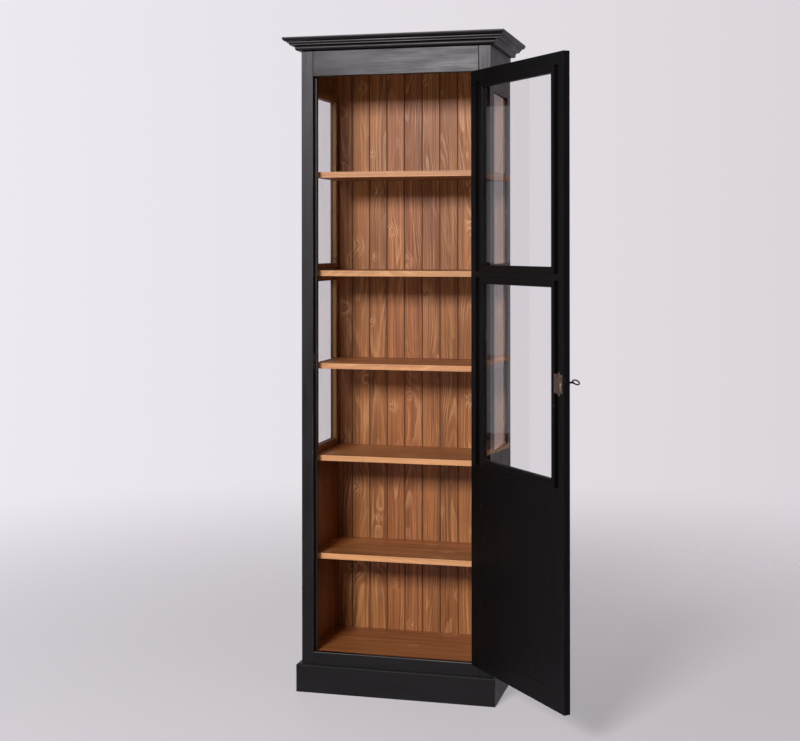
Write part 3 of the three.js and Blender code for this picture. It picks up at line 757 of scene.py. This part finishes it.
def add_side_beads():
    """Beads inside the side windows. Each window has a shelf across it."""
    section = rounded(11.7 * MM, 13.6 * MM)
    for side, inward in (("left", X), ("right", -X)):
        for name, shelf in (("upper", "shelf_1"), ("lower", "shelf_3")):
            low, high = box_of(f"{side}_{name}_glass")
            lap = (Y + Z) * glass_lap
            inner_x = high.x + clearance if side == "left" else low.x - clearance
            corner = Vector((inner_x, low.y, low.z)) + lap
            size = high - low - 2 * lap
            shelf_low, shelf_high = box_of(shelf)
            crossed = [(shelf_low.z - corner.z, shelf_high.z - corner.z)]
            beads = Piece(f"{side}_{name}_beads", "cabinet", pine, "stained_pine")
            bead_frame(beads, section, corner, Y, Z, size.y, size.z, inward, crossed=crossed)
            # Painted shade: the beads' stain is darkened
            beads.done((Y, Z, inward), edge=bead_edge, tone=0.64, figure=0.2)


add_door_beads()
add_side_beads()


# ---- Key ----

# The lock's axis on the closed door, and the key's frame: along +Y into the lock, with its bit
# up, turned with the key
lock_axis = DOOR.inverted() @ Vector(joints["key_turn"]["pos_m"])
key_angle = math.radians(58)
KEY = DOOR @ Matrix.Translation(lock_axis) @ Matrix.Rotation(key_angle, 4, "Y")
key_low, key_high = box_of("key", KEY)
tip = key_high.y

# The bow, an oval ring of wire, and the end of the stem where it joins
wire, bow_along, bow_across = 2.1 * MM, 9.5 * MM, 10.5 * MM
bow_middle = key_low.y + wire + bow_along
neck = bow_middle + bow_along

# The stem's turned end by the bow, in mm: distance from the bow and radius
NECK_TURNING = ((0, 2.2), (0.8, 3.2), (2.2, 3.7), (3.6, 3.2), (4.2, 2.8), (5, 3))


def bow_ring(turn, steps=14):
    """The wire's outline at one turn round the bow; the wire is thickest by the neck."""
    at = Y * (bow_middle + bow_along * math.cos(turn)) + Z * (bow_across * math.sin(turn))
    out = Y * (math.cos(turn) / bow_along) + Z * (math.sin(turn) / bow_across)
    thick = wire * (1 + 0.25 * max(0.0, math.cos(turn)) ** 4)
    turns = [2 * math.pi * i / steps for i in range(steps)]
    return [at + (out.normalized() * math.cos(a) + X * math.sin(a)) * thick for a in turns]


def stem_profile():
    """The stem's radius at each distance along it, from the neck over the collar to the tip."""
    stem, shank, collar, ease = 3 * MM, 2.5 * MM, 4 * MM, 0.5 * MM
    start, length = -8 * MM, 2 * MM
    end = start + length
    turned = [(neck + along * MM, radius * MM) for along, radius in NECK_TURNING]
    return [
        (neck, 0), *turned,
        (start, stem), (start, collar - ease), (start + ease, collar),
        (end - ease, collar), (end, collar - ease), (end, shank),
        (tip - ease, shank), (tip, shank - ease), (tip, 0),
    ]


def bit_outline():
    """The bit, with one ward cut into its end."""
    reach, length = 8 * MM, 4 * MM
    ward_half, ward_floor = 0.55 * MM, 4.8 * MM
    middle = tip - length / 2
    return [
        (tip, 0), (tip, reach), (middle + ward_half, reach), (middle + ward_half, ward_floor),
        (middle - ward_half, ward_floor), (middle - ward_half, reach), (tip - length, reach),
        (tip - length, 0),
    ]


def add_key():
    """The key, drawn in full in place of its solid."""
    key = Piece("key_turned", "key", iron, "iron", KEY)
    bow_steps, bit_half = 56, 1 * MM
    key.skin([bow_ring(2 * math.pi * i / bow_steps) for i in range(bow_steps)], closed=True)
    key.lathe(Vector((0, 0, 0)), Y, stem_profile())
    key.prism(*([Vector((x, y, z)) for y, z in bit_outline()] for x in (-bit_half, bit_half)))
    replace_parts(key.done(smooth=40), "key")


add_key()


# ---- Lock plate, keyhole plate and strike ----

plate_low, plate_high = box_of("lock_case", DOOR)
plate_face = plate_high.y - clearance
screw_radius, lock_screw_radius = 2.4 * MM, 2.2 * MM
hole_radius, slot_half, slot_drop = 3.2 * MM, 1.7 * MM, 8.7 * MM

# The keyhole plate's section, as shares: from the keyhole's edge to the rim, and of its rise
OVAL_SECTION = (
    (1.0, 0.0), (1.0, 0.5), (0.95, 0.85), (0.9, 0.75), (0.82, 0.7), (0.7, 0.95), (0.0, 1.0),
    (0.0, 0.0),
)


def dome(radius, rise):
    """The profile of a small round head."""
    return [(0, 0), (0, radius), (0.4 * rise, 0.9 * radius), (0.8 * rise, 0.5 * radius), (rise, 0)]


def add_lock_rib():
    """A half-round rib beside the keyhole's axis, with rounded ends."""
    aside, below, above = 6.5 * MM, 25 * MM, 1 * MM
    half, rise = 2.4 * MM, 1.8 * MM
    middle, low, high = lock_axis.x - aside, lock_axis.z - below, lock_axis.z + above
    arch = [(half * math.cos(a), rise * math.sin(a)) for a in [math.pi * i / 10 for i in range(11)]]
    steps_in = [(0.0, 0.2), (0.5, 0.85), (1.0, 1.0)]
    levels = [(low + a * half, size) for a, size in steps_in]
    levels += [(high - a * half, size) for a, size in reversed(steps_in)]
    rings = []
    for z, size in levels:
        rings.append([Vector((middle + x * size, plate_face + y * size, z)) for x, y in arch])
    ends = [[sum(ring, Vector()) / len(ring)] for ring in (rings[0], rings[-1])]
    rib = Piece("lock_rib", "door", lock_plate, "bronze", DOOR)
    rib.skin([ends[0], *rings, ends[1]])
    rib.done(UPRIGHT_FRONT, smooth=60)


def add_lock_fixings():
    """A pin in each tab of the lock's plate, and a screw near each of its corners."""
    tab_middle, pin_head = 4 * MM, dome(1.9 * MM, 1.0 * MM)
    pins = Piece("lock_pins", "door", steel, "bronze", DOOR)
    for z in (plate_low.z + tab_middle, plate_high.z - tab_middle):
        pins.lathe(Vector((lock_axis.x, plate_face, z)), Y, pin_head, 18)
    pins.done(smooth=40)

    from_side, from_end = 5 * MM, 13 * MM
    screws = Piece("lock_screws", "door", steel, "bronze", DOOR)
    for x in (plate_low.x + from_side, plate_high.x - from_side):
        for z in (plate_low.z + from_end, plate_high.z - from_end):
            screws.screw(Vector((x, plate_face, z)), Y, lock_screw_radius, turn=z * 900)
    screws.done()


def keyhole_reach(turn):
    """How far the keyhole's outline is from its middle; a turn of -pi/2 is down."""
    beside, below = abs(math.cos(turn)), max(-math.sin(turn), 1e-6)
    if beside * hole_radius > slot_half or math.sin(turn) > 0:
        return hole_radius
    return min(slot_half / max(beside, 1e-6), slot_drop / below)


def add_keyhole_plate():
    """An oval, domed, with a raised rim, a keyhole cut through it and a pin at each end."""
    low, high = box_of("escutcheon", DOOR)
    half = (high - low) / 2
    steps = 72
    rings = []
    for share, rise in OVAL_SECTION:
        ring = []
        for i in range(steps):
            turn = 2 * math.pi * i / steps
            way = Vector((math.cos(turn), 0, math.sin(turn)))
            rim = Vector((way.x * half.x, 0, way.z * half.z))
            at = (way * keyhole_reach(turn)).lerp(rim, share)
            at += Vector((lock_axis.x, high.y - clearance, lock_axis.z))
            ring.append(at - Y * (rise * (2 * half.y - clearance)))
        rings.append(ring)
    oval = Piece("keyhole_plate", "door", bronze, "bronze", DOOR)
    oval.skin(rings, closed=True)
    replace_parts(oval.done(smooth=40), "escutcheon")

    sunk, pin_share, pin_head = 0.4 * MM, 0.8, dome(1.3 * MM, 0.7 * MM)
    pins = Piece("keyhole_pins", "door", bronze, "bronze", DOOR)
    for way in (-1, 1):
        at = Vector((lock_axis.x, low.y + sunk, lock_axis.z + way * half.z * pin_share))
        pins.lathe(at, -Y, pin_head, 16)
    pins.done(smooth=40)


def add_strike_screws():
    """A screw near each end of the strike plate."""
    from_end, sunk = 7 * MM, 0.5 * MM
    low, high = box_of("strike_plate")
    screws = Piece("strike_screws", "cabinet", steel, "steel")
    for z in (low.z + from_end, high.z - from_end):
        at = Vector((high.x - sunk, (low.y + high.y) / 2, z))
        screws.screw(at, X, screw_radius, turn=z * 70)
    screws.done()


add_lock_rib()
add_lock_fixings()
add_keyhole_plate()
add_strike_screws()


# ---- Hinges ----

leaf_half = 38 * MM
knuckle, pin_radius = 5 * MM, 2.5 * MM
leaf_start, leaf_end = 6 * MM, 23 * MM
leaf_thickness, gap_half = 2 * MM, 0.75 * MM
leaf_overlap = 0.5 * MM
third = leaf_half * 2 / 3
knuckle_gap = 0.4 * MM
screw_spread, screw_stagger, screw_sunk = 26 * MM, 1.5 * MM, 0.6 * MM

# The pin's ball ends: their height and radius, and their turning, as the distance from the end
# in mm and the share of that radius
finial, ball = 3 * MM, pin_radius + 0.4 * MM
BALL_TURNING = ((0.3, 0.6), (1.2, 1.0), (2.2, 0.7))
ball_foot_share = 0.7


def knuckle_outline(x_inner, x_outer, steps=34):
    """A leaf's rolled end round the pin, from one face of the leaf to the other."""
    start, stop = (math.acos(x / knuckle) for x in (x_outer, x_inner))
    turns = [start + (stop - 2 * math.pi - start) * i / steps for i in range(steps + 1)]
    curl = [(knuckle * math.cos(a), knuckle * math.sin(a)) for a in turns]
    seam = leaf_start + leaf_overlap
    return [*curl, (x_inner, seam), (x_outer, seam)]


def pin_profile():
    """The hinge pin, with a ball at each end."""
    top = leaf_half + finial
    end = [(top, 0), *((top - along * MM, share * ball) for along, share in BALL_TURNING)]
    end += [(leaf_half, ball_foot_share * ball), (leaf_half, pin_radius)]
    return [(-along, radius) for along, radius in end] + end[::-1]


def hinge_leaf(number, part, body, place, way, knuckles, has_pin):
    """A leaf with its knuckles, and three screws in it. way is -1 on the door and 1 on the
    cabinet, and knuckles gives the heights that they fill."""
    low, high = box_of(f"hinge_{number}_{part}", place)
    middle = (low.z + high.z) / 2
    x_near, x_far = way * gap_half, way * (gap_half + leaf_thickness)
    leaf = Piece(f"hinge_{number}_{part}_rolled", body, iron, "iron", place)
    corners = [(x_near, leaf_start), (x_far, leaf_start), (x_far, leaf_end), (x_near, leaf_end)]
    heights = (middle - leaf_half, middle + leaf_half)
    leaf.prism(*([Vector((x, y, z)) for x, y in corners] for z in heights))
    outline = knuckle_outline(min(x_near, x_far), max(x_near, x_far))
    for span in knuckles:
        leaf.prism(*([Vector((x, y, middle + z)) for x, y in outline] for z in span))
    if has_pin:
        leaf.lathe(Vector((0, 0, middle)), Z, pin_profile(), 24)
    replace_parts(leaf.done(edge=0.2 * MM, smooth=40), f"hinge_{number}_{part}")
    screws = Piece(f"hinge_{number}_{part}_screws", body, steel, "steel", place)
    for step in (-1, 0, 1):
        y = (leaf_start + leaf_end) / 2 + screw_stagger * abs(step)
        at = Vector((x_near + way * screw_sunk, y, middle + screw_spread * step))
        screws.screw(at, X * -way, screw_radius, turn=step + number)
    screws.done()


outer_knuckles = [(-leaf_half, -third / 2 - knuckle_gap), (third / 2 + knuckle_gap, leaf_half)]
middle_knuckle = [(-third / 2, third / 2)]
for number in (1, 2):
    at_pin = Matrix.Translation(pin)
    hinge_leaf(number, "fixed_leaf", "cabinet", at_pin, 1, outer_knuckles, True)
    hinge_leaf(number, "door_leaf", "door", DOOR, -1, middle_knuckle, False)


# ---- Nails in the back ----


def add_back_nails():
    """Two nails through each back board into each board that it crosses, not quite in line."""
    shares, wander, sunk = (0.3, 0.75), 1.2 * MM, 0.3 * MM
    head = dome(2.1 * MM, 0.35 * MM)
    shelves = [f"shelf_{i}" for i in range(1, len(SHELF_PAINTED_LIGHT) + 1)]
    supports = ("bottom_board", "top_board", *shelves)
    heights = [sum(box_of(name), Vector()).z / 2 for name in supports]
    nails = Piece("back_nails", "cabinet", steel, "steel")
    for i in range(1, len(BACK_TONES) + 1):
        low, high = box_of(f"back_board_{i}")
        for z in heights:
            for share in shares:
                x = low.x + share * (high.x - low.x)
                off_line = wander * math.sin(977 * x + 313 * z)
                nails.lathe(Vector((x, high.y - sunk, z + off_line)), Y, head, 12)
    nails.done(smooth=40)


add_back_nails()


# ---- Stage, camera and light ----

WALL_LEFT, WALL_RIGHT = linear(238, 233, 240), linear(220, 213, 220)


def seen_by_eye(tree):
    """1 for what the camera sees, also in a reflection and through glass, and 0 for the light
    that a surface gives to others. And 1 where it was reflected on its way, or else 0."""
    path = tree.add("ShaderNodeLightPath", out=None).outputs
    seen = tree.maths("MAXIMUM", path["Is Camera Ray"], path["Is Glossy Ray"])
    seen = tree.maths("MAXIMUM", seen, path["Is Transmission Ray"])
    return seen, tree.maths("MINIMUM", path["Glossy Depth"], 1)


def lay_floor():
    """A pale disc that fades out, so that the background takes over from it far away."""
    fade_start, fade_end, least_share = 0.7, 4.5, 0.45
    mesh = bpy.data.meshes.new("floor")
    disc = bmesh.new()
    bmesh.ops.create_circle(disc, cap_ends=True, radius=5.5, segments=96)
    disc.to_mesh(mesh)
    disc.free()
    made, t = material("floor")
    place = t.add("ShaderNodeTexCoord", out="Object")
    distance = t.vectors("LENGTH", place, out="Value")
    far = t.ramp(distance, fade_start, fade_end, least_share, 1, smooth=True)
    matt = {"Base Color": linear(242, 237, 242), "Roughness": 0.6}
    ground = t.add("ShaderNodeBsdfPrincipled", matt)
    beyond = t.add("ShaderNodeBsdfTransparent")
    share = t.times(far, seen_by_eye(t)[0])
    finish_with(t, t.add("ShaderNodeMixShader", {0: share, 1: ground, 2: beyond}))
    mesh.materials.append(made)
    floor = bpy.data.objects.new("floor", mesh)
    bpy.context.scene.collection.objects.link(floor)


def place_camera():
    """Where the photograph was taken from, by a fit to its points and lines."""
    data = bpy.data.cameras.new("camera")
    data.lens = 65.1
    data.sensor_width = 36
    data.shift_y = -0.1585
    camera = bpy.data.objects.new("camera", data)
    camera.location = (1.1681, -4.4252, 1.4392)
    camera.rotation_euler = (math.radians(90), 0.001, 0.254)
    bpy.context.scene.collection.objects.link(camera)
    bpy.context.scene.camera = camera


LIGHT = (1, 0.95, 1)


def softbox(name, place, aim, width, height, watts):
    """A lamp with an oblong face, turned towards its aim."""
    data = bpy.data.lights.new(name, "AREA")
    data.color = LIGHT
    data.shape = "RECTANGLE"
    data.size, data.size_y = width, height
    data.energy = watts
    lamp = bpy.data.objects.new(name, data)
    lamp.location = place
    towards = Vector(aim) - Vector(place)
    lamp.rotation_euler = towards.to_track_quat("-Z", "Y").to_euler()
    bpy.context.scene.collection.objects.link(lamp)


def fill_room():
    """A dim room light, and a pale wall for what is seen behind and reflected. The wall is
    lightest on the left. What shines back from it is dimmer right behind, where the bookcase
    shades it, and dimmest far to the left and in front, where the room is open."""
    world = bpy.data.worlds.new("room")
    bpy.context.scene.world = world
    world.use_nodes = True
    world.node_tree.nodes.clear()
    t = Tree(world.node_tree)
    across, back, _ = t.parts(t.add("ShaderNodeTexCoord", out="Generated"))
    colour = t.mix(t.ramp(across, -0.5, 0.02), WALL_LEFT, WALL_RIGHT)
    room = t.add("ShaderNodeBackground", {"Color": (*LIGHT, 1), "Strength": 0.09})
    shine = t.times(
        t.ramp(back, -0.4, 0.1, 0.2, 1),
        t.ramp(back, 0.8, 0.97, 1, 0.45),
        t.ramp(across, -0.85, -0.5, 0.35, 1),
    )
    seen, reflected = seen_by_eye(t)
    level = t.blend(reflected, 1.0, shine)
    wall = t.add("ShaderNodeBackground", {"Color": colour, "Strength": level})
    lit = t.add("ShaderNodeMixShader", {0: seen, 1: room, 2: wall})
    t.add("ShaderNodeOutputWorld", {"Surface": lit}, out=None)


lay_floor()
place_camera()
softbox("window", place=(-1.05, -7.0, 3.6), aim=(0, 0, 1.0), width=1.8, height=1.3, watts=480)
fill_room()
bpy.context.scene.view_settings.view_transform = "Standard"
